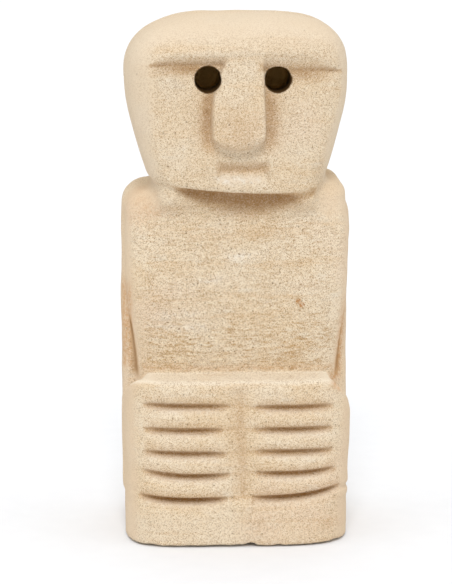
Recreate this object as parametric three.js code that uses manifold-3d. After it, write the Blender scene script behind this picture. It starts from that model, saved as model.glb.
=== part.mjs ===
// A tiki figure carved from one block of sandy limestone, standing on four felt pads.
// Millimetres. +Z is up, the face looks along -Y, and the origin is on the floor under the
// middle of the figure from nose to back. Left and right are those of somebody facing it.
import * as THREE from 'three';
import { mergeVertices } from 'three/addons/utils/BufferGeometryUtils.js';
import Module from 'manifold-3d';

const wasm = await Module();
wasm.setup();
const { clamp, lerp, smoothstep } = THREE.MathUtils;

// ---- driving dimensions -------------------------------------------------------------------

const HEIGHT = 300; //               floor to crown
const BASE_FRONT = -52;
const BASE_BACK = 52;
const SETBACK = 4; //                of the block's middle behind the origin: the nose stands out
const PAD_THICKNESS = 1;
const PAD_RADIUS = 11;
const PAD_X = 36; //                 middle of a pad, from the middle of the figure
const PAD_Y = 30;

const BASE_HALF_WIDTH = 64; //       plain band below the hands
const HANDS_HALF_WIDTH = 65.3; //    forearms and hands stand proud of the plain band
const BLOCK_SQUARENESS = 4.6; //     of the lower block's corners in plan
const HANDS_BOTTOM = 26;
const ELBOW_TOP = 80; //             the forearms rise from here to the hands
const HANDS_TOP = 96; //             ledge on top of the hands
const HANDS_EDGE = 4.5; //           rounding of that ledge

const WAIST_HALF_WIDTH = 58.5;
const WAIST_FRONT = -33; //          front of the torso where it meets the ledge
const CHEST_HALF_WIDTH = 63.8;
const CHEST_FRONT = -40;
const CHEST_HEIGHT = 158;
const COLLAR_FRONT = -30; //         front of the torso under the chin
const SHOULDER_TOP = 204;
const SHOULDER_DROP = 11; //         height of the rounding of the shoulders
const SHOULDER_RUN = 15; //          and its width
const BACK_TOP = 46; //              the back leans in to here at the shoulders
const BACK_STEP = 0.5; //            from the lower block up to the back
const WRIST_HALF_WIDTH = 64.8; //    the block draws in above the elbows
const ARM_HALF_WIDTH = 64.3; //      outside of the upper arms
const ARM_FRONT = -19;

const CHIN = 201.5; //               underside of the head
const CHIN_EDGE = 5;
const HEAD_MIDDLE = -1; //           the head sits a little to the left
const JAW_HALF_WIDTH = 46.8;
const TEMPLE = 264; //               the head is widest at the level of the eyes
const TEMPLE_HALF_WIDTH = 62.6;
const HEAD_FRONT = -54.5;
const HEAD_BACK = 50;
const NAPE_BACK = 37;
const BROW_TOP = 278; //             the forehead starts to turn under
const BROW_BOTTOM = 272.5; //        and ends over the face, which is cut back below it
const EYE_LEVEL_FRONT = -49.5; //    the face is deepest under the brow
const CHIN_FRONT = -52.5;

const FACE_MIDDLE = 1.6; //          the face sits a little to the right
const EYE_LEVEL = 265.6;
const EYE_RADIUS = 7.3;
const EYE_SPACING = 38.5;
const EYE_DEPTH = 32;
const NOSE_ROOT_HALF_WIDTH = 11.8;
const NOSE_WING_HALF_WIDTH = 15;
const NOSE_WING = 236; //            widest level of the nose
const NOSE_TIP = 227.5;
const NOSE_LEAN = -2.3; //           sideways, from root to tip
const NOSE_FRONT = -60;
const MOUTH_HEIGHT = 216;
const MOUTH_HALF_WIDTH = 13.5;
const MOUTH_HALF_HEIGHT = 5;
const MOUTH_DEPTH = 2.8;

const FINGER_GROOVES = [29.5, 43.7, 55.8, 69, 82.5]; // height of each groove
const GROOVE_INNER = 7; //           the grooves stop short of the cleft between the hands
const GROOVE_OUTER = 54;
const GROOVE_HALF_HEIGHT = 1.5;
const GROOVE_DEPTH = 3.6;
const GROOVE_SAG = 1;
const CLEFT_HALF_WIDTH = 2;
const CLEFT_DEPTH = 2;
const ARM_GROOVE_TOP = 150;
const ARM_GROOVE_HALF_WIDTH = 1.1;
const ARM_GROOVE_DEPTH = 5;

// ---- materials ----------------------------------------------------------------------------

const stone = new THREE.MeshStandardMaterial({ color: '#e6d3b3', roughness: 0.95, metalness: 0 });
const felt = new THREE.MeshStandardMaterial({ color: '#5a4c40', roughness: 1, metalness: 0 });

// ---- carving tools ------------------------------------------------------------------------

/** Turns a closed geometry into a solid that can be joined and cut. */
function solid(geometry) {
  geometry.deleteAttribute('normal');
  geometry.deleteAttribute('uv');
  const merged = mergeVertices(geometry, 1e-4);
  return new wasm.Manifold(new wasm.Mesh({
    numProp: 3,
    vertProperties: new Float32Array(merged.attributes.position.array),
    triVerts: new Uint32Array(merged.index.array),
  }));
}

/** Turns a solid back into a geometry. */
function geometryOf(body) {
  const mesh = body.getMesh();
  const geometry = new THREE.BufferGeometry();
  geometry.setAttribute('position', new THREE.BufferAttribute(mesh.vertProperties, 3));
  geometry.setIndex(new THREE.BufferAttribute(mesh.triVerts, 1));
  geometry.computeVertexNormals();
  return geometry;
}

/** Moves every point of a geometry by a function of its place. */
function reshape(geometry, move) {
  const position = geometry.attributes.position;
  const point = new THREE.Vector3();
  for (let i = 0; i < position.count; i += 1) {
    point.fromBufferAttribute(position, i);
    move(point);
    position.setXYZ(i, point.x, point.y, point.z);
  }
  return geometry;
}

/** Evenly spaced heights, with both ends. */
function heights(bottom, top, steps) {
  return Array.from({ length: steps + 1 }, (_, i) => lerp(bottom, top, i / steps));
}

/** Heights above a level that crowd together towards the top, for an end that rounds over. */
function closingHeights(level, top, steps) {
  return heights(0, Math.PI / 2, steps).slice(1).map((turn) => lerp(level, top, Math.sin(turn)));
}

/** How far a surface has drawn in at a distance from its end, for a round edge. */
function roundOver(distance, radius) {
  const short = clamp(radius - distance, 0, radius);
  return radius - Math.sqrt(radius * radius - short * short);
}

/**
 * A carved mass: a stack of level sections, each a rectangle with soft corners. section(z)
 * gives its half-width, front and back, and its middle line if that isn't the figure's. The
 * corners are sharper the more square the section is; 2 would be an ellipse.
 */
function carvedMass(levels, squareness, section) {
  const geometry = new THREE.CylinderGeometry(1, 1, 1, 40, levels.length - 1);
  geometry.rotateX(Math.PI / 2);
  const soften = (value) => (
    Math.abs(value) < 1e-6 ? 0 : Math.sign(value) * Math.abs(value) ** (2 / squareness)
  );
  return solid(reshape(geometry, (point) => {
    const z = levels[Math.round((point.z + 0.5) * (levels.length - 1))];
    const { halfWidth, front, back, middle = 0 } = section(z);
    const reach = point.y < 0 ? -front : back;
    point.set(middle + halfWidth * soften(point.x), reach * soften(point.y), z);
  }));
}

/** A bar along X with this outline, drawn with the depth across and the height up. */
function sideProfile(outline, halfWidth) {
  const geometry = new THREE.ExtrudeGeometry(outline, {
    depth: 2 * halfWidth,
    curveSegments: 4,
    bevelEnabled: false,
  });
  geometry.rotateX(Math.PI / 2).rotateZ(Math.PI / 2);
  return geometry.translate(-halfWidth, 0, 0);
}

/** The stroke of a round gouge along X: flattened, with round ends, and sagging if asked. */
function stroke(from, to, halfHeight, depth, sag = 0) {
  const length = to - from;
  const geometry = new THREE.CapsuleGeometry(1, length / halfHeight - 2, 3, 10, 8);
  geometry.rotateZ(Math.PI / 2);
  geometry.scale(halfHeight, depth, halfHeight);
  return reshape(geometry, (point) => {
    point.z -= sag * (1 - ((2 * point.x) / length) ** 2);
    point.x += (from + to) / 2;
  });
}

// ---- head ---------------------------------------------------------------------------------

/** How much of its full width the head has at a height, closing in a dome over the temples. */
function dome(z) {
  const fullness = 2.7;
  const rise = clamp((z - TEMPLE) / (HEIGHT - TEMPLE), 0, 0.998);
  return (1 - rise ** fullness) ** (1 / fullness);
}

/** The block of the head: narrow at the jaw, wide at the temples, domed above them. */
function skull() {
  const jaw = heights(CHIN, CHIN + CHIN_EDGE, 3);
  const cheeks = heights(CHIN + CHIN_EDGE, TEMPLE, 6).slice(1);
  const crown = closingHeights(TEMPLE, HEIGHT, 9);
  return carvedMass([...jaw, ...cheeks, ...crown], 5, (z) => {
    const rise = Math.sin(clamp((z - CHIN) / (TEMPLE - CHIN), 0, 1) * (Math.PI / 2));
    const edge = roundOver(z - CHIN, CHIN_EDGE);
    return {
      middle: HEAD_MIDDLE,
      halfWidth: lerp(JAW_HALF_WIDTH, TEMPLE_HALF_WIDTH, rise) * dome(z) - edge,
      front: HEAD_FRONT * dome(z) + edge,
      back: lerp(NAPE_BACK, HEAD_BACK, rise) * dome(z),
    };
  });
}

/** What is cut away in front of the face, from the round lower edge of the brow to the chin. */
function faceCut() {
  const clear = HEAD_FRONT - 10;
  const outline = new THREE.Shape();
  outline.moveTo(clear, CHIN - 5);
  outline.lineTo(CHIN_FRONT, CHIN - 5);
  outline.lineTo(CHIN_FRONT, MOUTH_HEIGHT);
  outline.lineTo(EYE_LEVEL_FRONT, BROW_BOTTOM);
  outline.quadraticCurveTo(HEAD_FRONT + 0.5, BROW_BOTTOM, HEAD_FRONT - 0.5, BROW_TOP);
  outline.lineTo(clear, BROW_TOP);
  outline.closePath();
  return solid(sideProfile(outline, TEMPLE_HALF_WIDTH + 5));
}

/** A flat-fronted wedge that widens and stands further out towards its round tip. */
function nose() {
  const bevel = 2;
  const depth = 14;
  const belly = NOSE_TIP - 2;
  const outline = new THREE.Shape();
  outline.moveTo(-NOSE_ROOT_HALF_WIDTH, BROW_TOP);
  outline.lineTo(-NOSE_WING_HALF_WIDTH, NOSE_WING);
  outline.bezierCurveTo(
    -NOSE_WING_HALF_WIDTH, belly, NOSE_WING_HALF_WIDTH, belly, NOSE_WING_HALF_WIDTH, NOSE_WING,
  );
  outline.lineTo(NOSE_ROOT_HALF_WIDTH, BROW_TOP);
  outline.closePath();
  const geometry = new THREE.ExtrudeGeometry(outline, {
    depth: depth - 2 * bevel,
    curveSegments: 12,
    bevelThickness: bevel,
    bevelSize: bevel,
    bevelOffset: -bevel,
    bevelSegments: 2,
  });
  geometry.rotateX(Math.PI / 2);
  geometry.translate(FACE_MIDDLE, NOSE_FRONT + depth - bevel, 0);
  return solid(reshape(geometry, (point) => {
    const rise = clamp((point.z - NOSE_WING) / (BROW_TOP - NOSE_WING), 0, 1);
    point.y += (HEAD_FRONT + 0.5 - NOSE_FRONT) * rise;
    point.x += NOSE_LEAN * (1 - rise);
  }));
}

/** The blind, drilled eye sockets. */
function eye(side) {
  const hole = new THREE.CylinderGeometry(EYE_RADIUS, EYE_RADIUS, EYE_DEPTH + 10, 32);
  const middle = EYE_LEVEL_FRONT + EYE_DEPTH / 2 - 5;
  return solid(hole.translate(FACE_MIDDLE + side * (EYE_SPACING / 2), middle, EYE_LEVEL));
}

/** A shallow notch whose lower slope is the top of the lip. */
function mouth() {
  const clear = 4;
  const reach = MOUTH_HALF_HEIGHT * ((MOUTH_DEPTH + clear) / MOUTH_DEPTH);
  const outline = new THREE.Shape();
  outline.moveTo(CHIN_FRONT - clear, MOUTH_HEIGHT - reach);
  outline.lineTo(CHIN_FRONT + MOUTH_DEPTH, MOUTH_HEIGHT);
  outline.lineTo(CHIN_FRONT - clear, MOUTH_HEIGHT + reach);
  outline.closePath();
  return solid(sideProfile(outline, MOUTH_HALF_WIDTH).translate(FACE_MIDDLE, 0, 0));
}

// ---- torso and arms -----------------------------------------------------------------------

/** How far the shoulders have rounded inwards at a height. */
function shoulderRound(z) {
  return (SHOULDER_RUN / SHOULDER_DROP) * roundOver(SHOULDER_TOP - z, SHOULDER_DROP);
}

/** The back at a height: upright, leaning in slightly towards the shoulders. */
function backAt(z) {
  return lerp(BASE_BACK, BACK_TOP, clamp(z / SHOULDER_TOP, 0, 1));
}

/** The torso narrows to the waist. Its front swells at the chest and draws in above it. */
function torso() {
  const body = heights(HANDS_TOP - 12, SHOULDER_TOP - SHOULDER_DROP, 9);
  const shoulders = closingHeights(SHOULDER_TOP - SHOULDER_DROP, SHOULDER_TOP, 4);
  return carvedMass([...body, ...shoulders], 5, (z) => {
    const swell = smoothstep(z, HANDS_TOP - 10, CHEST_HEIGHT);
    const collar = smoothstep(z, CHEST_HEIGHT, SHOULDER_TOP);
    return {
      halfWidth: lerp(WAIST_HALF_WIDTH, CHEST_HALF_WIDTH, swell) - shoulderRound(z),
      front: lerp(lerp(WAIST_FRONT, CHEST_FRONT, swell), COLLAR_FRONT, collar),
      back: backAt(z) - 5,
    };
  });
}

/** The upper arms hang straight down behind the sides of the torso, one mass with the back. */
function armsAndBack() {
  const arms = heights(HANDS_TOP - HANDS_EDGE - 14, SHOULDER_TOP - SHOULDER_DROP, 3);
  const shoulders = closingHeights(SHOULDER_TOP - SHOULDER_DROP, SHOULDER_TOP - 1, 4);
  return carvedMass([...arms, ...shoulders], 4, (z) => ({
    halfWidth: ARM_HALF_WIDTH - shoulderRound(z),
    front: ARM_FRONT + 0.3 * shoulderRound(z),
    back: backAt(z) - BACK_STEP - 0.5 * shoulderRound(z),
  }));
}

/** The groove between the torso and an upper arm, running down and inwards to the ledge. */
function armGroove(side) {
  const top = new THREE.Vector3(side * (CHEST_HALF_WIDTH - 1.5), ARM_FRONT - 1, ARM_GROOVE_TOP);
  const foot = new THREE.Vector3(side * (WAIST_HALF_WIDTH - 1), ARM_FRONT - 1, HANDS_TOP - 1);
  const run = new THREE.Vector3().subVectors(foot, top);
  const length = run.length() / ARM_GROOVE_HALF_WIDTH;
  const groove = new THREE.CapsuleGeometry(1, length, 2, 8, 1);
  groove.scale(ARM_GROOVE_HALF_WIDTH, ARM_GROOVE_HALF_WIDTH, ARM_GROOVE_DEPTH);
  const down = new THREE.Vector3(0, -1, 0);
  groove.applyQuaternion(new THREE.Quaternion().setFromUnitVectors(down, run.normalize()));
  const middle = top.add(foot).multiplyScalar(0.5);
  return solid(groove.translate(middle.x, middle.y, middle.z));
}

// ---- hands and base -----------------------------------------------------------------------

/** The lower block: a plain band, and above it the forearms and hands wrapped round it. */
function lowerBlock() {
  const band = heights(PAD_THICKNESS, HANDS_BOTTOM - 1.5, 1);
  const hands = heights(HANDS_BOTTOM + 1.5, ELBOW_TOP - 3, 1);
  const wrists = heights(ELBOW_TOP, HANDS_TOP - HANDS_EDGE, 1);
  const ledge = closingHeights(HANDS_TOP - HANDS_EDGE, HANDS_TOP, 3);
  return carvedMass([...band, ...hands, ...wrists, ...ledge], BLOCK_SQUARENESS, (z) => {
    const proud = smoothstep(z, HANDS_BOTTOM - 1.5, HANDS_BOTTOM + 1.5);
    const wrist = smoothstep(z, ELBOW_TOP - 3, ELBOW_TOP);
    const edge = roundOver(HANDS_TOP - z, HANDS_EDGE);
    const forearm = lerp(BASE_HALF_WIDTH, HANDS_HALF_WIDTH, proud);
    return {
      halfWidth: lerp(forearm, WRIST_HALF_WIDTH, wrist) - edge,
      front: BASE_FRONT + edge,
      back: backAt(z) - 0.5 * edge,
    };
  });
}

/** The front of the lower block at a distance from the middle, following its round corner. */
function frontAt(x) {
  return BASE_FRONT * (1 - Math.abs(x / HANDS_HALF_WIDTH) ** BLOCK_SQUARENESS) ** (1 / BLOCK_SQUARENESS);
}

/** One of the grooves that part the fingers of a hand. It follows the front of the block. */
function fingerGroove(side, height) {
  const cut = stroke(GROOVE_INNER, GROOVE_OUTER, GROOVE_HALF_HEIGHT, GROOVE_DEPTH, GROOVE_SAG);
  if (side < 0) cut.rotateZ(Math.PI);
  return solid(reshape(cut, (point) => {
    point.y += frontAt(point.x);
    point.z += height;
  }));
}

/** The shallow upright cleft between the two hands. */
function cleft() {
  const cut = stroke(HANDS_BOTTOM - 4, HANDS_TOP - 4, CLEFT_HALF_WIDTH, CLEFT_DEPTH);
  return solid(cut.rotateY(-Math.PI / 2).translate(0, BASE_FRONT, 0));
}

// ---- the object ---------------------------------------------------------------------------

function stoneFigure() {
  const masses = [skull().subtract(faceCut()), nose(), torso(), armsAndBack(), lowerBlock()];
  const cuts = [mouth(), cleft()];
  for (const side of [-1, 1]) {
    cuts.push(eye(side), armGroove(side));
    cuts.push(...FINGER_GROOVES.map((height) => fingerGroove(side, height)));
  }
  const block = masses.reduce((whole, mass) => whole.add(mass));
  const carving = cuts.reduce((whole, cut) => whole.subtract(cut), block);
  const mesh = new THREE.Mesh(geometryOf(carving), stone);
  mesh.name = 'stone_figure';
  return mesh;
}

function feltPad(end, side) {
  const disc = new THREE.CylinderGeometry(PAD_RADIUS, PAD_RADIUS, PAD_THICKNESS, 32);
  disc.rotateX(Math.PI / 2);
  const mesh = new THREE.Mesh(disc, felt);
  const x = side === 'left' ? -PAD_X : PAD_X;
  const y = end === 'front' ? -PAD_Y : PAD_Y;
  mesh.position.set(x, y, PAD_THICKNESS / 2);
  mesh.name = `felt_pad_${end}_${side}`;
  return mesh;
}

const figure = new THREE.Group();
figure.position.y = SETBACK;
figure.add(stoneFigure());
for (const end of ['front', 'rear']) {
  for (const side of ['left', 'right']) {
    figure.add(feltPad(end, side));
  }
}

export default figure;
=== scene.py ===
"""Tiki figure: the looks of a hand-carved block of sandy limestone on four felt pads.

The stone is sculpted as a distance field in millimetres: masses are joined with round coves, cuts are
taken away with worn edges, and a net of quads is drawn over the result. In that carving frame +Z is up,
the face looks along -Y, and y is 0 at the middle of the lower block. The finished mesh is in metres, in
the frame of the CAD model. Left and right are those of somebody facing the figure.
"""

import itertools
import math

import bpy
import numpy as np
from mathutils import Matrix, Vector


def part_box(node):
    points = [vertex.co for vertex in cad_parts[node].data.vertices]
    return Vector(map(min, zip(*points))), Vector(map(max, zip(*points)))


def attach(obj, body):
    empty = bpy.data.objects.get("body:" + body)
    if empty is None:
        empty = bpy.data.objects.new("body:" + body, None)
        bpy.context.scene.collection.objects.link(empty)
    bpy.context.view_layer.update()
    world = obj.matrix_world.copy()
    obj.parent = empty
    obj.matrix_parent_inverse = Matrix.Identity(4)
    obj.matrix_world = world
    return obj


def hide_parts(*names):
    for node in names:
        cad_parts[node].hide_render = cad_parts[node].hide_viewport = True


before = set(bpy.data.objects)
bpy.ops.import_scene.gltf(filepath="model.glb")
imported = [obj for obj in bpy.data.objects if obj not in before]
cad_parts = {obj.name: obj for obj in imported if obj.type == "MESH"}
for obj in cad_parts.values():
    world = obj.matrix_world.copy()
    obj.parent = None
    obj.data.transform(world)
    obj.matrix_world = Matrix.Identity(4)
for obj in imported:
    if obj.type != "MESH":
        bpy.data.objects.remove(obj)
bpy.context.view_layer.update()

MM = 0.001

# ---- driving dimensions, millimetres ---------------------------------------------------------

low_corner, high_corner = (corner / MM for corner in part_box("stone_figure"))
HEIGHT = high_corner.z
UNDERSIDE = low_corner.z
BASE_BACK = 52.0
BASE_FRONT = -52.0
SETBACK = high_corner.y - BASE_BACK  # of the carving frame behind the frame of the CAD model
NOSE_FRONT = low_corner.y - SETBACK

BAND_HALF_WIDTHS = (64.6, 63.7)  # on the left and on the right, as in the other pairs below
FOREARM_HALF_WIDTH = 65.4
BLOCK_SQUARENESS = 4.8
HANDS_BOTTOM = 26.0
ELBOW_TOP = 75.0
HANDS_TOP = 96.0
HANDS_EDGE, FOOT_EDGE = 4.5, 1.0
SHOULDER_TOP = 204.0
BACK_TOP = 46.0

WAIST_HALF_WIDTH, WAIST_FRONT = 58.5, -31.5
CHEST_HALF_WIDTH, CHEST_FRONT, CHEST_HEIGHT = 63.8, -40.0, 158.0
COLLAR_FRONT = -35.5
TORSO_SQUARENESS = 7
ARM_HALF_WIDTHS, ARM_FRONT = (65.9, 64.0), -23.0
ARM_GROOVE_TOPS = (126.0, 142.0)

CHIN = 202.5
CHIN_EDGE = 3.2
JAW_HALF_WIDTH = 46.8
NECK_HALF_WIDTH, NECK_FRONT, NECK_SQUARENESS = 47.0, -39.5, 4.5
TEMPLE = 264.0
TEMPLE_HALF_WIDTH = 62.6
HEAD_MIDDLE, HEAD_SQUARENESS = -1.0, 5
HEAD_FRONT, HEAD_BACK, NAPE_BACK = -54.5, 50.0, 37.0
FACE_AT_BROW, FACE_AT_MOUTH = -48.2, -52.0

EYE_LEVEL, EYE_RADIUS, EYE_DEPTH = 265.6, 7.1, 31.0
EYES = (-17.6, 20.9)
NOSE_TIP, NOSE_WING = 228.3, 240.0
MOUTH_HEIGHT, MOUTH_DEPTH = 216.7, 3.4

# Each finger groove: its side, the heights of its inner end, middle and outer end, how far from the
# middle of the hands it starts and ends, and how deep it is.
FINGER_GROOVES = (
    (-1, (82.2, 81.9, 82.7), (5.5, 55.0), 4.1),
    (-1, (68.4, 67.8, 68.6), (9.5, 54.0), 4.3),
    (-1, (54.5, 54.4, 55.3), (7.5, 54.5), 4.2),
    (-1, (42.6, 41.3, 44.3), (5.5, 55.0), 4.5),
    (-1, (28.6, 27.3, 29.7), (7.0, 57.0), 5.3),
    (1, (81.5, 80.8, 80.9), (8.0, 53.5), 3.9),
    (1, (68.6, 68.0, 68.2), (8.0, 53.0), 4.2),
    (1, (55.7, 55.0, 55.3), (8.0, 53.5), 4.2),
    (1, (43.4, 42.4, 44.4), (8.5, 55.0), 4.4),
    (1, (29.1, 28.9, 33.6), (6.5, 57.5), 5.0),
)
CLEFT_MIDDLE = 0.9

# Each pale streak on the chest: its middle, its height and its length to each side.
CHEST_STREAKS = ((-34, 132.5, 12), (-25, 124.5, 9), (1, 165.7, 9), (-14, 152, 9))


# ---- carving tools ---------------------------------------------------------------------------


def lerp(start, end, share):
    return start + (end - start) * share


def ramp(value, start, end):
    """0 before start, 1 after end, and a smooth slope between them."""
    share = np.clip((value - start) / (end - start), 0, 1)
    return share * share * (3 - 2 * share)


def bell(value, middle, width):
    """1 at the middle, falling away smoothly on both sides."""
    return np.exp(-(((value - middle) / width) ** 2))


def joined(a, b, radius):
    """Two masses together, with a round cove where they meet."""
    near = np.hypot(np.maximum(radius - a, 0), np.maximum(radius - b, 0))
    return np.maximum(np.minimum(a, b), radius) - near


def common(a, b, radius):
    """What two masses have in common, with a round edge where they cross."""
    near = np.hypot(np.maximum(radius + a, 0), np.maximum(radius + b, 0))
    return np.minimum(np.maximum(a, b), -radius) + near


def without(a, cut, radius):
    """A mass with a cut taken away, and the edge of the cut worn round."""
    return common(a, -cut, radius)


def soft_rectangle(x, y, half_width, front, back, squareness):
    """How far out a point is in a level section with soft corners, 1 on its edge, and its slope."""
    reach = np.where(y < 0, -front, back)
    u = np.abs(x) / half_width
    v = np.abs(y) / reach
    out = np.maximum((u**squareness + v**squareness) ** (1 / squareness), 1e-3)
    steep = squareness - 1
    slope = np.hypot((u / out) ** steep / half_width, (v / out) ** steep / reach)
    return out, np.maximum(slope, 1e-3)


def upright_wall(x, y, half_width, front, back, squareness):
    """Distance to an upright mass with that level section."""
    out, slope = soft_rectangle(x, y, half_width, front, back, squareness)
    return (out - 1) / slope


def swells(x, y, z, size, seed):
    """Smooth random swelling between -1 and 1, with swells about this far apart."""
    side = 32
    lattice = np.random.default_rng(seed).uniform(-1, 1, (side, side, side))
    places = [axis / size + side * 4 for axis in (x, y, z)]
    cells = [np.floor(place).astype(int) for place in places]
    shares = [ramp(place - cell, 0, 1) for place, cell in zip(places, cells)]
    total = 0.0
    for step in itertools.product((0, 1), repeat=3):
        weight = 1.0
        for share, up in zip(shares, step):
            weight = weight * (share if up else 1 - share)
        corner = tuple((cell + up) % side for cell, up in zip(cells, step))
        total = total + weight * lattice[corner]
    return total


# ---- head ------------------------------------------------------------------------------------


def jaw_line(x):
    """Height of the chin's edge, lowest a little to the right of the middle."""
    return CHIN + 0.0014 * (x - 18) ** 2


def skull(x, y, z):
    """Narrow at the jaw, wide at the temples, with a dome that is fuller on the right."""
    rise = np.sin(np.clip((z - CHIN) / (TEMPLE - CHIN), 0, 1) * (math.pi / 2))
    half_width = lerp(JAW_HALF_WIDTH, TEMPLE_HALF_WIDTH, rise) - 0.9 * bell(z, 232, 18)
    back = lerp(NAPE_BACK, HEAD_BACK, rise)
    out, slope = soft_rectangle(x - HEAD_MIDDLE, y, half_width, HEAD_FRONT, back, HEAD_SQUARENESS)
    fullness = 3.05 + 0.36 * np.tanh(x / 25)
    crown = HEIGHT - TEMPLE
    up = np.maximum((z - TEMPLE) / crown, 0)
    whole = (out**fullness + up**fullness) ** (1 / fullness)
    around = (out / whole) ** (fullness - 1) * slope
    over = (up / whole) ** (fullness - 1) / crown
    shell = (whole - 1) / np.maximum(np.hypot(around, over), 1e-3)
    return common(shell, jaw_line(x) - z, CHIN_EDGE)


def neck(x, y, z):
    """Behind the chin and at the corners of the jaw, the head runs down into the shoulders."""
    wall = upright_wall(x - HEAD_MIDDLE, y, NECK_HALF_WIDTH, HEAD_FRONT, NAPE_BACK, NECK_SQUARENESS)
    corner = ramp(np.abs(x + 1), 15, 41) * ramp(z, 186, 200)
    front = lerp(COLLAR_FRONT, NECK_FRONT, ramp(z, 182, 202)) - 8.5 * corner
    return np.maximum(common(wall, (front - y) * 0.9, 4.0), np.abs(z - CHIN) - 24)


def nose_edges(z):
    """Middle line and half-width of the nose at a height."""
    above = z - NOSE_WING
    middle = -0.85 + 2 * (np.maximum(above - 9, 0) / 20) ** 2
    return middle, 14.2 - 0.0036 * above**2


def mouth_notch(x, z):
    """Depth of the mouth: steep under the upper lip and at its ends, a long slope on the lower lip."""
    above = (MOUTH_HEIGHT + 4.4 - z) / 4.6
    below = (z - MOUTH_HEIGHT + 7.8) / 5.6
    ends = (15.0 - np.abs(x - 1.6)) / 3.6
    return MOUTH_DEPTH * np.clip(np.minimum(np.minimum(above, below), ends), 0, 1)


def cheek_hollow(x, z):
    """Depth of the soft hollows beside the nose."""
    middle, half_width = nose_edges(z)
    left = 2.4 * bell(x, middle - half_width - 2, 5) * ramp(z, 224, 236) * (1 - ramp(z, 248, 266))
    right = 1.8 * bell(x, middle + half_width + 2.5, 6) * ramp(z, 224, 238) * (1 - ramp(z, 250, 270))
    return left + right


def face_plane(x, z):
    """How far back the face is cut: it runs out at the left edge, and turns back at the right one."""
    base = lerp(FACE_AT_MOUTH, FACE_AT_BROW, np.clip((z - MOUTH_HEIGHT) / (272 - MOUTH_HEIGHT), 0, 1.1))
    turn = 0.0052 * np.maximum(x - 32, 0) ** 2 - 0.034 * np.maximum(-40 - x, 0) ** 2 * ramp(z, 225, 262)
    return base + turn + mouth_notch(x, z) + cheek_hollow(x, z)


def brow_edges(x):
    """Heights of the brow's underside, where it meets the face and at the front of the brow."""
    inner = lerp(273.5, 270.4, ramp(x, -8, 26))
    lip = 279.8 - 3.4 * (np.maximum(-40 - x, 0) / 8) ** 2 - 7.8 * (np.maximum(x - 33, 0) / 20) ** 2
    return inner, np.maximum(lip, inner + 0.01)


def brow(x, depth):
    """Height of the brow's underside, at a depth from the face (0) to the front of the brow (1)."""
    inner, lip = brow_edges(x)
    return lerp(inner, lip, depth)


def nose(x, y, z):
    """A flat-fronted wedge that widens and stands further out towards its round tip."""
    middle, half_width = nose_edges(z)
    sides = (np.abs(x - middle) - half_width) * 0.97 - 0.1 * (y - NOSE_FRONT)
    front = NOSE_FRONT + 0.155 * np.maximum(z - 233, 0) + 0.012 * np.maximum(z - 271, 0) ** 2
    tip = NOSE_TIP + 0.027 * (x - middle) ** 2 - 0.3 * (y - NOSE_FRONT)
    block = common(sides, front - y, 1.6)
    wedge = common(block, (tip - z) * 0.95, 1.8)
    return np.maximum.reduce([wedge, y - NOSE_FRONT - 25, z - 288])


def head(x, y, z):
    """The skull with the face cut back under the brow, and with the nose and neck added."""
    whole = skull(x, y, z)
    face = face_plane(x, z)
    depth = np.clip((face - y) / 6.0, 0, 1)
    cut = common(y - face, z - brow(x, depth), 0.4)
    whole = without(whole, cut, 2.2)
    whole = joined(whole, nose(x, y, z), 1.4)
    return joined(whole, neck(x, y, z), 3.0)


def sockets(x, y, z):
    """The blind, drilled eye sockets, open to the front."""
    bores = [np.hypot(x - middle, z - EYE_LEVEL) - EYE_RADIUS for middle in EYES]
    return common(np.minimum(*bores), y - (FACE_AT_BROW + EYE_DEPTH), 3.0)


# ---- torso and arms --------------------------------------------------------------------------


def back_at(z):
    """The back leans forward a little towards the shoulders."""
    return lerp(BASE_BACK, BACK_TOP, np.clip(z / SHOULDER_TOP, 0, 1))


def shoulder_top(x):
    """The left shoulder slopes away more than the right one."""
    return SHOULDER_TOP + lerp(-2.4, 2.6, ramp(x, -55, 55))


def shoulder_edge(x):
    """How round the top edge of the shoulders is worn."""
    return lerp(11.5, 8.5, ramp(x, -20, 20))


def torso_half_width(x, z):
    """Narrow at the waist, and a little narrower on the right."""
    half_width = lerp(WAIST_HALF_WIDTH, CHEST_HALF_WIDTH, ramp(z, HANDS_TOP - 10, CHEST_HEIGHT))
    return half_width - ramp(x, 0, 40) * (0.9 + 1.6 * ramp(z, 180, 198) - 0.4 * bell(z, 177, 12))


def torso(x, y, z):
    """The front swells at the chest and draws in above it."""
    swell = ramp(z, HANDS_TOP - 10, CHEST_HEIGHT)
    collar = ramp(z, CHEST_HEIGHT, SHOULDER_TOP)
    half_width = torso_half_width(x, z)
    front = lerp(lerp(WAIST_FRONT, CHEST_FRONT, swell), COLLAR_FRONT, collar)
    wall = upright_wall(x, y, half_width, front, back_at(z) - 5, TORSO_SQUARENESS)
    return common(wall, z - shoulder_top(x), shoulder_edge(x))


def arms_and_back(x, y, z):
    """The upper arms hang straight down behind the sides of the torso, one mass with the back."""
    left, right = ARM_HALF_WIDTHS
    left = left - 0.6 * ramp(z, 176, 190)
    right = right + 1.0 * bell(z, 178, 12) - 3.4 * ramp(z, 186, 200)
    half_width = np.where(x < 0, left, right)
    wall = upright_wall(x, y, half_width, ARM_FRONT, back_at(z) - 0.5, BLOCK_SQUARENESS)
    return common(wall, z - shoulder_top(x) + 0.5, shoulder_edge(x))


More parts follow.
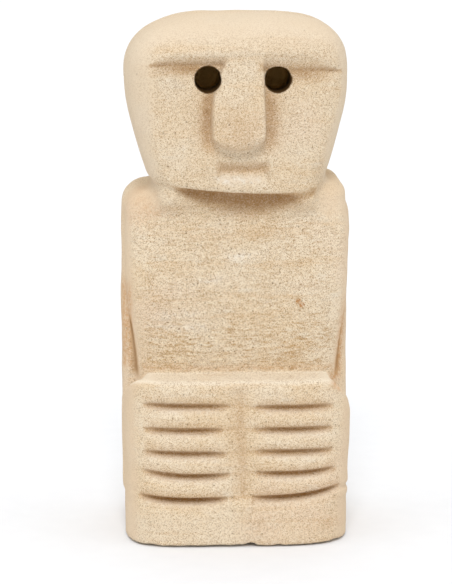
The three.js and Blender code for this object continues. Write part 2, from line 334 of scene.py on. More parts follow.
def arm_groove(x, y, z):
    """The grooves between the torso and the upper arms, running down and inwards to the ledge."""
    rise = np.clip((z - HANDS_TOP) / 54, 0, 1)
    side = np.abs(np.abs(x) - torso_half_width(x, z) - 0.4 * (1 - rise))
    width = lerp(1.6, 1.15, rise)
    reach = lerp(3.4, 1.4, rise)
    ends = np.maximum(z - lerp(*ARM_GROOVE_TOPS, ramp(x, -10, 10)), HANDS_TOP - 6 - z)
    flat = np.hypot(side / width, (y - ARM_FRONT + 0.6) / reach)
    return common((flat - 1) * width, ends * 0.3, 0.8)


# ---- hands and base --------------------------------------------------------------------------


def finger_grooves(x, z):
    """Depth cut between the fingers, the painted shade in the cut, and the painted highlight on the worn
    finger below it.
    """
    depth, dust_and_shade, highlight_and_wear = 0.0, 0.0, 0.0
    for side, (inner, middle, outer), (start, end), deepest in FINGER_GROOVES:
        run = np.clip((side * x - start) / (end - start), 0, 1)
        bow = inner * (1 - run) * (1 - 2 * run) + 4 * middle * run * (1 - run) + outer * run * (2 * run - 1)
        taper = np.clip(1 - np.abs(2 * run - 1) ** 3, 0, 1) ** 0.7 * (side * x > 0)
        offset = z - bow
        width = np.where(offset > 0, 1.9, 2.4) * (0.4 + 0.6 * taper)
        gouge = np.clip(1 - (offset / width) ** 2, 0, 1) ** 0.8
        roll = 0.42 * bell(offset, -1.0, 4.2)
        trace = 0.1 * ramp(side * x, -2, 2) * (1 - ramp(side * x, start, start + 6))
        depth = depth + deepest * (taper * (0.66 * gouge + roll) + trace * bell(offset, 0, 1.8))
        # painted shade in the cut, darkest at its middle and on its upper wall
        core = 0.19 * deepest * bell(offset, -0.2, 1.6) + 0.15 * bell(offset, 2.2, 2.4)
        dust_and_shade = np.maximum(dust_and_shade, taper * core + 2 * trace * bell(offset, 0.3, 1.3))
        # painted highlight on the finger just below the cut, where it faces up and is worn smooth
        highlight_and_wear = np.maximum(highlight_and_wear, taper * bell(offset, -3.2, 1.4))
    return depth, dust_and_shade, highlight_and_wear


def cleft_line(z):
    """The cleft between the two hands wanders to the right near its foot."""
    return CLEFT_MIDDLE + 0.8 * np.cos((z - 40) / 11)


def cleft(x, z):
    """Depth of the shallow upright cleft between the two hands."""
    ends = ramp(z, HANDS_BOTTOM - 3, HANDS_BOTTOM + 6) * (1 - ramp(z, HANDS_TOP - 8, HANDS_TOP))
    line = cleft_line(z)
    return ends * (0.7 * bell(x, line, 1.8) + 2.1 * bell(x, line - 1.8, 5.4))


def front_depth(x, z):
    """How deep the front of the hands is cut, by the finger grooves and the cleft."""
    depth, _, _ = finger_grooves(x, z)
    return depth + cleft(x, z)


def lower_block(x, y, z):
    """A plain band, and above it the forearms and hands wrapped round the block."""
    proud = ramp(z, HANDS_BOTTOM - 3.5, HANDS_BOTTOM + 3.5)
    side_reach = lerp(np.where(x < 0, *BAND_HALF_WIDTHS), FOREARM_HALF_WIDTH, proud)
    side_reach = side_reach - np.where(x < 0, 0.9, 1.2) * bell(z, 38, 14)
    notch = np.where(x > 0, 1.5, 0.4) * bell(z, HANDS_BOTTOM + 0.5 - 0.12 * y, 1.8)
    half_width = side_reach - notch * ramp(np.abs(x), 40, 60)
    squareness = BLOCK_SQUARENESS - 0.35 * ramp(x, -20, 40)
    wall = upright_wall(x, y, half_width, BASE_FRONT, back_at(z), squareness)
    wall = wall + front_depth(x, z) * ramp(-y, 8, 26)
    behind = ramp(y, lerp(-44, -47, ramp(x, 0, 30)), lerp(-6, -17, ramp(x, 0, 30)))
    slope = 0.07 * np.clip(y + 50, 0, 20) * (1 - ramp(np.abs(x), 50, 60))
    top = HANDS_TOP - (HANDS_TOP - ELBOW_TOP) * behind * ramp(np.abs(x), 50, 60) + slope
    top = top - 3.5 * ramp(x, 46, 60)
    block = common(wall, z - top, HANDS_EDGE)
    return common(block, UNDERSIDE - z, FOOT_EDGE)


def base_wear(x, y, z):
    """How far the bottom edge has been knocked and rubbed away."""
    edge = bell(z, UNDERSIDE, 2.4)
    ragged = np.clip(swells(x, y, z, 5.5, 41), 0, 1)
    chip = 2.6 * bell(x, 6.4, 2.4) * bell(y, BASE_FRONT, 6) * bell(z, UNDERSIDE, 1.6)
    return edge * ragged * 0.9 + chip


# ---- the whole carving -----------------------------------------------------------------------


def carving(x, y, z):
    """Distance to the surface of the stone, negative inside."""
    body = joined(torso(x, y, z), arms_and_back(x, y, z), 0.8)
    body = without(body, arm_groove(x, y, z), 0.7)
    body = joined(np.maximum(body, HANDS_BOTTOM - z), lower_block(x, y, z), 2.0)
    whole = joined(body, head(x, y, z), lerp(2.2, 6.5, ramp(np.abs(x - 3), 26, 46)))
    whole = without(whole, sockets(x, y, z), 0.6)
    hand_work = 0.35 * swells(x, y, z, 27, 11) + 0.13 * swells(x, y, z, 8, 12)
    dressing = 0.32 * ramp(y, -20, 10) * swells(x, y, 0.7 * z, 11, 14)
    grit = 0.05 * swells(x, y, z, 2.6, 13)
    worn = whole + hand_work + dressing + grit + base_wear(x, y, z)
    return np.maximum(worn, UNDERSIDE - z)


def grid_lines(*stretches):
    """Grid lines over stretches of (start, end, step), from the first start to the last end."""
    lines = []
    for start, end, step in stretches:
        count = max(1, round((end - start) / step))
        lines.extend(start + (end - start) * i / count for i in range(count))
    lines.append(stretches[-1][1])
    return np.array(lines)


def surface_net(axes, field):
    """A net of quads over the surface where a field on a grid changes sign: vertices and quads."""
    inside = field < 0
    shape = [size - 1 for size in field.shape]
    count = sum(
        inside[tuple(slice(s, s + n) for s, n in zip(step, shape))].astype(np.int8)
        for step in itertools.product((0, 1), repeat=3)
    )
    mixed = (count > 0) & (count < 8)
    number = np.full(mixed.shape, -1)
    number[mixed] = np.arange(mixed.sum())
    total = np.zeros((mixed.sum(), 3))
    hits = np.zeros(mixed.sum())
    quads = []
    for a in range(3):
        b, c = (a + 1) % 3, (a + 2) % 3
        start = tuple(slice(0, -1) if axis == a else slice(None) for axis in range(3))
        end = tuple(slice(1, None) if axis == a else slice(None) for axis in range(3))
        place = np.nonzero(inside[start] != inside[end])
        near, far = field[start][place], field[end][place]
        share = near / (near - far)
        point = [axes[axis][place[axis]] for axis in range(3)]
        point[a] = lerp(point[a], axes[a][place[a] + 1], share)
        ring = []
        for down_b, down_c in ((1, 1), (0, 1), (0, 0), (1, 0)):
            cell = list(place)
            cell[b] = cell[b] - down_b
            cell[c] = cell[c] - down_c
            ring.append(number[tuple(cell)])
        for corner in ring:
            hits += np.bincount(corner, minlength=len(hits))
            for axis in range(3):
                total[:, axis] += np.bincount(corner, weights=point[axis], minlength=len(hits))
        ring = np.stack(ring, axis=1)
        ring[near >= 0] = ring[near >= 0][:, ::-1]
        quads.append(ring)
    return total / hits[:, None], np.concatenate(quads)


def gradient(field, points):
    """Slope of a field at the points, from small steps to both sides."""
    step = 0.04
    slopes = []
    for axis in range(3):
        shift = np.zeros(3)
        shift[axis] = step
        ahead, behind = field(*(points + shift).T), field(*(points - shift).T)
        slopes.append((ahead - behind) / (2 * step))
    return np.stack(slopes, axis=1)


def settled(field, points, rounds=3, furthest=0.6):
    """Moves the points onto the surface of a field."""
    for _ in range(rounds):
        slope = gradient(field, points)
        steepness = np.maximum((slope**2).sum(axis=1), 0.05)
        move = slope * (field(*points.T) / steepness)[:, None]
        length = np.linalg.norm(move, axis=1, keepdims=True)
        points = points - move * np.minimum(1, furthest / np.maximum(length, 1e-9))
    return points


def carve_stone():
    """The vertices (millimetres, carving frame) and quads of the stone."""
    side, cheek, middle = 1.35, 1.75, 1.05
    xs = grid_lines((-69, -50, side), (-50, -27, cheek), (-27, 27, middle), (27, 50, cheek), (50, 69, side))
    ys = grid_lines((-63, -44, 1.0), (-44, -14, 1.5), (-14, 56, 3.0))
    base = [(-1, 6, 1.0), (6, 24, 1.9)]
    hands = [(24, 98, 0.88)]
    torso_height = [(98, 130, 1.5), (130, 186, 2.2)]
    face = [(186, 256, 1.15), (256, 281, 0.85), (281, 303, 1.6)]
    zs = grid_lines(*base, *hands, *torso_height, *face)
    grid = np.meshgrid(xs.astype(np.float32), ys.astype(np.float32), zs.astype(np.float32), indexing="ij")
    field = carving(*grid)
    points, quads = surface_net((xs, ys, zs), field)
    return settled(carving, points), quads


# ---- masks for the finish --------------------------------------------------------------------


def finger_groove_shade(x, y, z):
    """Painted shade in the grooves between the fingers."""
    _, dust_and_shade, _ = finger_grooves(x, z)
    return dust_and_shade * (y < -25)


def arm_dust_and_shade(x, y, z):
    """Brown dust and painted shade in the grooves between the torso and the arms, fading out upwards and
    weaker on the right.
    """
    beside = 1 - np.clip(np.abs(arm_groove(x, y, z)) / 1.8, 0, 1)
    low = beside * (y < -8) * ramp(z, HANDS_TOP - 4, HANDS_TOP + 3) * (1 - ramp(z, 124, 152))
    return lerp(0.85, 0.65, x > 0) * low


def mouth_shade(x, y, z):
    """Painted shade in the mouth, under the upper lip."""
    share = np.clip(mouth_notch(x, z) / MOUTH_DEPTH, 0, 1)
    return 0.38 * share * ramp(z, MOUTH_HEIGHT - 3, MOUTH_HEIGHT - 1) * (y < FACE_AT_MOUTH + 5)


def cleft_shade(x, y, z):
    """Painted shade: a narrow line and a faint wide band along the cleft between the hands."""
    middle = cleft_line(z)
    line = (0.13 * bell(x, middle, 1.4) + 0.09 * bell(x, middle - 1, 5)) * (y < -42)
    return line * ramp(z, HANDS_BOTTOM, HANDS_BOTTOM + 8) * (1 - ramp(z, HANDS_TOP - 14, HANDS_TOP))


def on_the_face(x, y, z):
    """1 on the face that is cut back, 0 on the brow and on the front of the nose."""
    face = face_plane(x, z)
    return ramp(y, face - 3.5, face - 0.8) * (y < -40)


def brow_shade(x, y, z):
    """Painted shade on the brow's underside, and on the face just below it, outside the eyes."""
    inner, lip = brow_edges(x)
    under = (1 - ramp(z, inner, lip)) * ramp(z, inner - 2.4, inner - 0.4)
    eaves = 0.5 * under**4 * (y < -40) * (x > -50) * (x < 56) * ramp(np.abs(x - 1), 8, 12)
    lids = 0.7 * (bell(x, -27, 13) + 0.7 * bell(x, 34, 11)) * (1 - ramp(inner - z, 1, 7.5))
    return np.maximum(eaves, lids * (z < inner + 0.5) * on_the_face(x, y, z))


def nose_shade_and_tint(x, y, z):
    """Painted shade in the hollows beside the nose, and a darker tint a little over its front."""
    middle, half_width = nose_edges(z)
    face = on_the_face(x, y, z)
    left = 0.5 * bell(x, middle - half_width - 2.6, 3.4)
    right = 0.42 * bell(x, middle + half_width + 3.0, 4.2)
    cheeks = (left + right) * face * ramp(z, 222, 234) * (1 - ramp(z, 252, 266))
    snout = 0.2 * bell(x, middle, 11) * bell(z, 238, 12) * (1 - face) * (y < -50)
    return np.maximum(cheeks, snout)


def throat_shadow(x, y, z):
    """Painted shadow under the chin, reaching furthest down at the middle."""
    below_chin = jaw_line(x) - z
    hollow = 12.5 * np.clip(1 - ((x - 3) / 42) ** 2, 0.05, 1)
    throat = 0.78 * (1 - ramp(below_chin, 0.5 * hollow, 1.4 * hollow)) * ramp(below_chin, -3, -1)
    return throat * ramp(y, -50, -44) * (y < -20) * (1 - ramp(np.abs(x - 2), 38, 42))


def recess_dust_and_shade(x, y, z):
    """Brown dust and painted shade in the grooves and hollows and under the chin, and a darker tint on the
    nose.
    """
    places = (finger_groove_shade, arm_dust_and_shade, mouth_shade, cleft_shade, brow_shade, nose_shade_and_tint, throat_shadow)
    return np.clip(np.maximum.reduce([dust_and_shade(x, y, z) for dust_and_shade in places]), 0, 1)


def warm_stain(x, y, z):
    """Where rust from the rock has bled: above the ledge, at the arm grooves and in a few spots."""
    front = y < -8
    ledge = 0.4 * bell(z, HANDS_TOP + 4.2, 1.7) * (np.abs(x) < 54) * ramp(y, -35, -33) * front
    foot = 1.0 * bell(x, 56.0, 3.5) * bell(z, HANDS_TOP - 2, 5) * front
    seam = 0.9 * bell(x, lerp(57.8, 61.8, np.clip((z - 96) / 54, 0, 1)), 2.4)
    seam = seam * ramp(z, 92, 98) * (1 - ramp(z, 118, 150)) * front
    left_dots = 0.55 * bell(x, -62.6, 2.0) * (bell(z, 131, 3.0) + bell(z, 148, 2.2)) * front
    shoulder = (0.3 * bell(x, -42, 9) * bell(z, 191, 4) + 0.32 * bell(x, -54, 9) * bell(z, 190, 11)) * front
    strip = 0.65 * ramp(-x, 59, 61) * ramp(z, 96, 100) * (1 - ramp(z, 142, 154)) * front
    corner = 0.3 * bell(x, 50, 7) * bell(z, 13, 4) * front
    return np.clip(np.maximum.reduce([ledge, foot, seam, left_dots, shoulder, strip, corner]), 0, 1)


def lower_lip(x, z):
    """The lower lip, which faces up: worn finer, and lit by a painted highlight."""
    return bell(z, MOUTH_HEIGHT - 6.0, 2.4) * (1 - ramp(np.abs(x), 9, 16))


def pale_streaks(x, y, z):
    """Level streaks of paler, greyish stone on the chest, and painted highlights on the lower lip and the
    fingers, where they face up and are worn.
    """
    streaks = [
        bell(x, middle, length) * bell(z, height + 0.04 * (x - middle), 2.2)
        for middle, height, length in CHEST_STREAKS
    ]
    _, _, highlight_and_wear = finger_grooves(x, z)
    # the lower lip and the finger tops below the grooves face up: painted highlights there
    return np.clip(1.2 * sum(streaks) + 1.7 * lower_lip(x, z) + 0.7 * highlight_and_wear, 0, 1.7) * (y < -25)


def tooling(x, y, z, forward):
    """How coarse the surface is: 1 on faces worked from the front, and 0.55 at the back.

    The chest is a quarter coarser, and the surface is finer where the stone is rubbed.
    """
    across = np.abs(x)
    crown = 0.6 * ramp(z, 279, 291)
    temple = 0.85 * ramp(-x, 44, 53) * ramp(z, 203, 212)
    collar = 0.8 * ramp(z, 176, 196) * (1 - ramp(z, 203, 206)) * ramp(across, 36, 52)
    flank = 0.35 * ramp(across, 50, 53.5) * ramp(z, HANDS_TOP, HANDS_TOP + 5) * (1 - ramp(z, 150, 185))
    _, _, fingers = finger_grooves(x, z)
    rubbed = np.maximum.reduce([crown, temple, collar, flank, 0.6 * fingers, 0.75 * lower_lip(x, z)])
    chest = 0.25 * ramp(z, HANDS_TOP + 3, HANDS_TOP + 8) * (1 - ramp(z, 180, 200))
    recess = (1 - ramp(across, 44, 50)) * (1 - ramp(y, -36, -28)) * (1 - ramp(z, 278, 284))
    ledge = bell(z, HANDS_TOP, 4) * (1 - ramp(forward, 0.3, 0.6))
    worked = np.maximum(ramp(forward, 0.45, 0.9), recess * (1 - 0.3 * ledge))
    return np.maximum(worked * (1 - rubbed) * (1 + chest), 0.55 * ramp(y, -22, 8))


def socket_depth(x, y, z):
    """0 outside the eye sockets, and a half at their rim to 1 at their end."""
    radius = np.minimum(*[np.hypot(x - middle, z - EYE_LEVEL) for middle in EYES])
    inside = (1 - ramp(radius, EYE_RADIUS + 0.35, EYE_RADIUS + 0.9)) * ramp(y, -50, -48.4)
    inside = inside * (y < FACE_AT_BROW + EYE_DEPTH + 3)
    return inside * (0.5 + 0.5 * np.clip((y - FACE_AT_BROW) / EYE_DEPTH, 0, 1))


# ---- meshes ----------------------------------------------------------------------------------


def mesh_object(name, points, faces):
    """A smooth-shaded object from points in metres and faces that all have the same number of corners."""
    mesh = bpy.data.meshes.new(name)
    corners = faces.shape[1]
    mesh.vertices.add(len(points))
    mesh.vertices.foreach_set("co", points.astype(np.float32).ravel())
    mesh.loops.add(faces.size)
    mesh.loops.foreach_set("vertex_index", faces.astype(np.int32).ravel())
    mesh.polygons.add(len(faces))
    mesh.polygons.foreach_set("loop_start", np.arange(0, faces.size, corners, dtype=np.int32))
    mesh.polygons.foreach_set("loop_total", np.full(len(faces), corners, dtype=np.int32))
    mesh.update(calc_edges=True)
    mesh.validate()
    mesh.polygons.foreach_set("use_smooth", np.ones(len(faces), dtype=bool))
    piece = bpy.data.objects.new(name, mesh)
    bpy.context.scene.collection.objects.link(piece)
    return piece


def add_mask(piece, name, values):
    """A value for each vertex, for the material to read."""
    mask = piece.data.attributes.new(name, "FLOAT", "POINT")
    mask.data.foreach_set("value", values.astype(np.float32))


def build_stone():
    """The carved stone in metres, in the frame of the CAD model, with its masks."""
    points, quads = carve_stone()
    placed = (points + np.array([0, SETBACK, 0])) * MM
    piece = mesh_object("carved_stone", placed, quads)
    add_mask(piece, "dust_and_shade", recess_dust_and_shade(*points.T))
    add_mask(piece, "stain", warm_stain(*points.T))
    add_mask(piece, "pale", pale_streaks(*points.T))
    add_mask(piece, "socket", socket_depth(*points.T))
    normals = np.empty(points.size, dtype=np.float32)
    piece.data.vertices.foreach_get("normal", normals)
    add_mask(piece, "tooled", tooling(*points.T, -normals[1::3]))
    return piece


def build_felt_pad(node):
    """A pressed felt disc with a soft, slightly ragged rim, as thick as its CAD node."""
    low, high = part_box(node)
    middle = (low + high) / 2
    radius = (high.x - low.x) / 2
    thickness = high.z - low.z
    turns, steps = 96, 6
    raggedness, dent_depth = 0.18 * MM, 0.03 * MM
    rng = np.random.default_rng(sum(map(ord, node)))
    ragged = raggedness * rng.uniform(-1, 0, turns)
    # From the middle of the underside round the rim: shares of the radius, and of the thickness.
    profile = [(0.0, -0.5), (0.55, -0.5), (0.93, -0.5)]
    for i in range(steps + 1):
        angle = math.pi * (i / steps - 0.5)
        profile.append((0.97 + 0.03 * math.cos(angle), 0.5 * math.sin(angle)))
    profile += [(0.93, 0.5), (0.55, 0.5), (0.0, 0.5)]
    points, faces = [], []
    for share, level in profile:
        for turn in range(turns):
            angle = 2 * math.pi * turn / turns
            reach = share * radius + ragged[turn] * (share > 0.95)
            dent = dent_depth * math.sin(9 * angle + 20 * share) * (0 < share < 0.9) * (level < 0)
            place = Vector((reach * math.cos(angle), reach * math.sin(angle), level * thickness + dent))
            points.append(middle + place)
    for ring in range(len(profile) - 1):
        for turn in range(turns):
            after = (turn + 1) % turns
            here, there = ring * turns, (ring + 1) * turns
            faces.append((here + turn, here + after, there + after, there + turn))
    return mesh_object(node + "_felt", np.array(points), np.array(faces))


# ---- materials -------------------------------------------------------------------------------


class Graph:
    """A material's node tree, with short ways to add and join nodes."""

    def __init__(self, name):
        self.material = bpy.data.materials.new(name)
        self.material.use_nodes = True
        self.tree = self.material.node_tree
        self.tree.nodes.clear()

    def add(self, kind, inputs=None, **settings):
        node = self.tree.nodes.new(kind)
        for key, value in settings.items():
            setattr(node, key, value)
        for key, value in (inputs or {}).items():
            self.feed(node.inputs[key], value)
        return node

    def feed(self, socket, value):
        if isinstance(value, bpy.types.NodeSocket):
            self.tree.links.new(value, socket)
        else:
            socket.default_value = value

    def math(self, operation, first, second=0.0, clamp=False):
        node = self.add("ShaderNodeMath", operation=operation, use_clamp=clamp)
        self.feed(node.inputs[0], first)
        self.feed(node.inputs[1], second)
        return node.outputs[0]

    def range(self, value, low, high, to_low=0.0, to_high=1.0):
        """Maps low..high smoothly to to_low..to_high, and holds it there."""
        inputs = {"Value": value, "From Min": low, "From Max": high, "To Min": to_low, "To Max": to_high}
        return self.add("ShaderNodeMapRange", inputs, interpolation_type="SMOOTHSTEP").outputs[0]

    def mix(self, share, first, second, blend_type="MIX"):
        node = self.add("ShaderNodeMix", data_type="RGBA", blend_type=blend_type)
        self.feed(node.inputs[0], share)
        self.feed(node.inputs[6], first)
        self.feed(node.inputs[7], second)
        return node.outputs[2]

    def noise(self, place, size, detail=2.0, roughness=0.5):
        """Noise with features about this many millimetres across."""
        inputs = {"Vector": place, "Scale": 1 / size, "Detail": detail, "Roughness": roughness}
        return self.add("ShaderNodeTexNoise", inputs).outputs[0]

    def grains(self, place, size):
        """Distance to the nearest grain's middle, and a random number for each grain."""
        node = self.add("ShaderNodeTexVoronoi", {"Vector": place, "Scale": 1 / size})
        chance = self.add("ShaderNodeSeparateColor", {"Color": node.outputs["Color"]})
        return node.outputs["Distance"], chance.outputs[0]

    def millimetres(self, stretch=(1.0, 1.0, 1.0)):
        """The place on the object in millimetres."""
        scale = tuple(value / MM for value in stretch)
        place = self.add("ShaderNodeTexCoord").outputs["Object"]
        return self.add("ShaderNodeMapping", {"Vector": place, "Scale": scale}).outputs[0]

    def spot(self, x, z, radius):
        """A soft round spot seen from the front, in millimetres."""
        level = self.millimetres((1.0, 0.0, 1.0))
        node = self.add("ShaderNodeVectorMath", {0: level, 1: (x, 0.0, z)}, operation="DISTANCE")
        return self.range(node.outputs["Value"], radius, 0.4 * radius)

    def mask(self, name):
        return self.add("ShaderNodeAttribute", attribute_name=name).outputs["Fac"]

    def bump(self, height, distance, normal=None):
        inputs = {"Height": height, "Distance": distance, "Strength": 1.0}
        node = self.add("ShaderNodeBump", inputs)
        if normal is not None:
            self.feed(node.inputs["Normal"], normal)
        return node.outputs[0]

    def finish(self, inputs):
        shader = self.add("ShaderNodeBsdfPrincipled", inputs)
        output = self.add("ShaderNodeOutputMaterial")
        self.feed(output.inputs["Surface"], shader.outputs[0])
        return self.material


def colour(red, green, blue):
    """Linear colour from the 0..255 values that a screen shows."""
    linear = [((value / 255 + 0.055) / 1.055) ** 2.4 for value in (red, green, blue)]
    return (*linear, 1.0)


def stone_hues(g, place, height, tooled):
    """Warm and cool patches, greyer at the head, and a painted highlight on faces that look up low on the
    figure, most on the top of the hands.
    """
    patches = g.range(g.noise(place, 38, 3, 0.55), 0.4, 0.62)
    base = g.mix(patches, colour(237, 219, 192), colour(232, 209, 176))
    pink = g.range(g.noise(place, 70, 2), 0.52, 0.7, 0, 0.5)
    base = g.mix(pink, base, colour(232, 207, 183))
    cool = g.range(g.noise(g.millimetres((0.6, 0.6, 1.6)), 12, 4, 0.6), 0.58, 0.72, 0, 0.4)
    base = g.mix(cool, base, colour(228, 219, 203))
    smooth = g.mix(g.range(height, 200, 212), colour(230, 206, 177), colour(233, 216, 193))
    base = g.mix(g.range(tooled, 0.9, 0.1, 0, 0.6), base, smooth)
    base = g.mix(g.range(height, 262, 290, 0, 0.3), base, colour(226, 211, 194))
    facing = g.add("ShaderNodeSeparateXYZ", {"Vector": g.add("ShaderNodeNewGeometry").outputs["Normal"]})
    # painted top light: paler where the surface faces up, fading out from the hands up to the shoulders
    rubbed = g.math("MULTIPLY", g.range(facing.outputs[2], 0.4, 0.9), g.range(height, 200, 110, 0, 0.9))
    base = g.mix(rubbed, base, colour(246, 234, 214))
    return g.mix(g.range(height, 198, 208, 0, 0.3), base, colour(220, 200, 172))


def thin_beds(g, height, tooled):
    """Thin level beds, and how strongly they show at each height: most just above the ledge."""
    beds = g.noise(g.millimetres((0.2, 0.2, 1.0)), 1.3, 3, 0.65)
    low = g.math("MULTIPLY", g.range(height, 95, 99), g.range(height, 136, 112))
    high = g.math("MULTIPLY", g.range(height, 100, 125), g.range(height, 205, 180))
    shown = g.math("ADD", g.math("MULTIPLY", low, 0.5), g.math("MULTIPLY", high, 0.25))
    return beds, g.math("MULTIPLY", g.math("ADD", shown, 0.08), tooled)


def bedding(g, base, beds, shown):
    """The thin beds' darker and paler stone."""
    base = g.mix(g.math("MULTIPLY", g.range(beds, 0.5, 0.66), shown), base, colour(196, 160, 112))
    return g.mix(g.math("MULTIPLY", g.range(beds, 0.48, 0.34), shown), base, colour(243, 228, 202))


def pale_and_rusty_marks(g, base, place, tooled):
    """Pale streaks and painted highlights on the lower lip and the fingers, the stain that rust has left,
    and a rust spot on the chest.
    """
    # the pale mask holds the chest streaks and the painted highlights on the lower lip and fingers
    pale = g.math("MULTIPLY", g.mask("pale"), g.range(g.noise(place, 3, 3, 0.6), 0.42, 0.6, 0.2, 0.72))
    base = g.mix(pale, base, colour(243, 233, 218))
    broken = g.range(g.noise(place, 2.2, 3, 0.65), 0.36, 0.6, 0.25, 1.0)
    stain = g.math("MULTIPLY", g.mask("stain"), broken)
    base = g.mix(g.math("MULTIPLY", stain, 0.85), base, colour(204, 146, 86))
    rust = g.math("MAXIMUM", g.spot(33.6, 139.4, 2.3), g.spot(35.6, 137.6, 2.2))
    rust = g.math("MULTIPLY", rust, g.range(g.noise(place, 1.2, 2), 0.38, 0.55, 0.35, 1))
    return g.mix(g.math("MULTIPLY", rust, g.range(tooled, 0.5, 0.9)), base, colour(188, 128, 62))


def settled_dust_and_shade(g, base, place):
    """Brown dust and painted shade in the grooves, with a painted warm half-shade round them, and how much
    of it there is.
    """
    patchy = g.range(g.noise(place, 1.4, 3, 0.6), 0.3, 0.55, 0.78, 1.0)
    dust_and_shade = g.math("MULTIPLY", g.mask("dust_and_shade"), patchy)
    # painted warm half-shade round the shaded grooves and hollows
    fringe = g.math("MULTIPLY", g.math("POWER", g.mask("dust_and_shade"), 0.5), 0.4)
    base = g.mix(fringe, base, colour(216, 162, 94))
    # dust brown, standing for both settled dust and shade
    return g.mix(g.math("MULTIPLY", dust_and_shade, 0.96), base, colour(136, 90, 26)), dust_and_shade


def broad_beds(g, base, tooled):
    """Broad level bands of slightly darker stone."""
    beds = g.noise(g.millimetres((0.08, 0.08, 1.0)), 4.5, 3, 0.6)
    beds = g.math("MULTIPLY", g.range(beds, 0.52, 0.64, 0, 0.3), tooled)
    return g.mix(beds, base, colour(222, 190, 148))


def sand_grains(g, base, place, tooled, dust_and_shade):
    """Dark and light grains, clumps and pits, with the distance to a grain's middle and the pits."""
    near, shade = g.grains(place, 0.37)
    grit = g.math("ADD", g.math("MULTIPLY", tooled, 0.7), 0.25)
    dark = g.math("MULTIPLY", g.range(shade, 0.45, 0.0, 0, 0.66), grit)
    base = g.mix(dark, base, colour(146, 106, 56))
    clean = g.math("SUBTRACT", grit, g.math("MULTIPLY", dust_and_shade, 0.65), True)
    light = g.math("MULTIPLY", g.range(shade, 0.6, 1.0, 0, 0.45), clean)
    base = g.mix(light, base, colour(252, 244, 228))
    coarse = g.range(g.noise(place, 1.3, 3, 0.75), 0.48, 0.3)
    base = g.mix(g.math("MULTIPLY", coarse, g.math("MULTIPLY", tooled, 0.22)), base, colour(178, 146, 102))
    middle, chance = g.grains(place, 2.1)
    pits = g.math("MULTIPLY", g.range(middle, 0.26, 0.16), g.range(chance, 0.93, 0.95))
    base = g.mix(g.math("MULTIPLY", pits, g.math("MULTIPLY", grit, 0.6)), base, colour(128, 96, 56))
    return base, near, pits


def socket_shade(g, base):
    """Painted shade inside the eye sockets: dark brown down the bore, lighter brown at its end."""
    socket = g.mask("socket")
    shaded_bore = g.mix(g.range(socket, 0.72, 0.96), colour(84, 58, 24), colour(205, 164, 96))
    return g.mix(g.range(socket, 0.1, 0.45), base, shaded_bore)


def stone_material():
    """Sandy limestone: patches, painted top light, level beds, marks, dust and painted shade, sand grains,
    pits, and painted shade in the eye sockets.
    """
    g = Graph("sandy_limestone")
    place = g.millimetres()
    height = g.add("ShaderNodeSeparateXYZ", {"Vector": place}).outputs[2]
    tooled = g.mask("tooled")
    beds, shown = thin_beds(g, height, tooled)

    base = stone_hues(g, place, height, tooled)
    base = bedding(g, base, beds, shown)
    base = pale_and_rusty_marks(g, base, place, tooled)
    base, dust_and_shade = settled_dust_and_shade(g, base, place)
    base = broad_beds(g, base, tooled)
    base, near, pits = sand_grains(g, base, place, tooled, dust_and_shade)
    base = socket_shade(g, base)

    sand = g.noise(place, 0.4, 1, 0.6)
    pecked = g.math("MULTIPLY", g.noise(place, 1.9, 3, 0.65), tooled)
    relief = g.bump(g.noise(place, 5, 3, 0.6), 0.25 * MM)
    relief = g.bump(pecked, 0.45 * MM, relief)
    relief = g.bump(g.math("MULTIPLY", beds, shown), 0.4 * MM, relief)
    relief = g.bump(sand, 0.3 * MM, relief)
    relief = g.bump(g.range(near, 0.1, 0.5), 0.1 * MM, relief)
    relief = g.bump(g.range(pits, 0, 1, 1, 0), 0.3 * MM, relief)
    return g.finish(
        {
            "Base Color": base,
            "Roughness": g.range(sand, 0.3, 0.7, 0.98, 0.84),
            "Specular IOR Level": 0.2,
            "Normal": relief,
        }
    )


def felt_material():
    """Pressed wool felt: tangled fibres, with a soft sheen."""
    g = Graph("pressed_felt")
    place = g.millimetres()
    tangle = g.noise(g.millimetres((3.0, 0.5, 1.0)), 0.5, 4, 0.7)
    across = g.noise(g.millimetres((0.5, 3.0, 1.0)), 0.5, 4, 0.7)
    fibres = g.math("MAXIMUM", tangle, across)
    wool = g.mix(g.range(fibres, 0.45, 0.7), colour(66, 54, 44), colour(104, 88, 72))
    wool = g.mix(g.range(g.noise(place, 6, 2), 0.4, 0.7, 0, 0.4), wool, colour(84, 76, 68))
    return g.finish(
        {
            "Base Color": wool,
            "Roughness": g.range(fibres, 0.4, 0.7, 1.0, 0.9),
            "Specular IOR Level": 0.1,
            "Sheen Weight": 0.4,
            "Normal": g.bump(fibres, 0.15 * MM),
        }
    )


def floor_material():
    """Plain, pale studio paper."""
    g = Graph("studio_paper")
    fleck = g.noise(g.millimetres(), 14, 2)
    paper = g.mix(g.range(fleck, 0.3, 0.7), (0.84, 0.86, 0.905, 1.0), (0.85, 0.87, 0.915, 1.0))
    return g.finish({"Base Color": paper, "Roughness": 1.0, "Specular IOR Level": 0.0})


# ---- stage, light and camera -----------------------------------------------------------------


def build_floor():
    """A flat floor, wide enough to fill the picture up to the horizon."""
    reach = 40.0
    corners = np.array([(-reach, -reach, 0), (reach, -reach, 0), (reach, reach, 0), (-reach, reach, 0)])
    floor = mesh_object("floor", corners, np.array([(0, 1, 2, 3)]))
    floor.data.materials.append(floor_material())


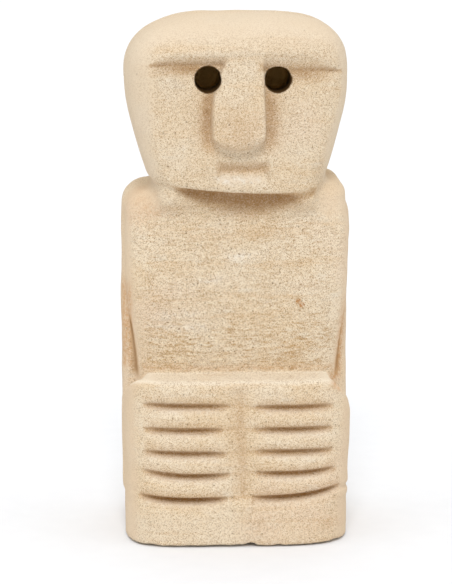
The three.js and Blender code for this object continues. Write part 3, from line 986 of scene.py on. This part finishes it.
# Each lamp: its strength, and in degrees how wide it looks, how far to the right it stands and how high.
LAMPS = {
    "key": (1.25, 20, -4, 46),
    "left": (0.24, 30, -75, 62),
    "right": (0.24, 30, 75, 62),
    "back": (0.42, 34, 180, 78),
}


def build_light():
    """Warm white surroundings, a broad key light in front, and weaker lights above the sides and back."""
    world = bpy.data.worlds.new("studio")
    world.use_nodes = True
    sky = world.node_tree.nodes["Background"]
    sky.inputs["Color"].default_value = (1.0, 0.98, 0.91, 1.0)
    sky.inputs["Strength"].default_value = 0.68
    bpy.context.scene.world = world
    for name, (strength, width, azimuth, elevation) in LAMPS.items():
        lamp = bpy.data.lights.new(name, "SUN")
        lamp.energy = strength
        lamp.angle = math.radians(width)
        lamp.color = (1.0, 1.0, 1.02)
        light = bpy.data.objects.new(name, lamp)
        turn, rise = math.radians(azimuth), math.radians(elevation)
        towards = Vector((math.sin(turn) * math.cos(rise), -math.cos(turn) * math.cos(rise), math.sin(rise)))
        light.rotation_mode = "QUATERNION"
        light.rotation_quaternion = towards.to_track_quat("Z", "Y")
        bpy.context.scene.collection.objects.link(light)
    bpy.context.scene.view_settings.view_transform = "Standard"


def build_camera():
    """A long lens, a little above the head and a little to the left."""
    place = Vector((-68, -1298 + SETBACK, 380)) * MM
    aim = Vector((-5.4, SETBACK, 138.1)) * MM
    camera = bpy.data.objects.new("camera", bpy.data.cameras.new("camera"))
    camera.data.lens = 140.6
    camera.data.sensor_width = 36
    camera.location = place
    camera.rotation_mode = "QUATERNION"
    camera.rotation_quaternion = (aim - place).to_track_quat("-Z", "Y")
    bpy.context.scene.collection.objects.link(camera)
    bpy.context.scene.camera = camera


# ---- the scene -------------------------------------------------------------------------------

build_camera()
build_light()
build_floor()

stone = build_stone()
stone.data.materials.append(stone_material())
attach(stone, "root")
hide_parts("stone_figure")

felt = felt_material()
for node_name in sorted(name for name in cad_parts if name.startswith("felt_pad")):
    pad = build_felt_pad(node_name)
    pad.data.materials.append(felt)
    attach(pad, "root")
    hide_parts(node_name)
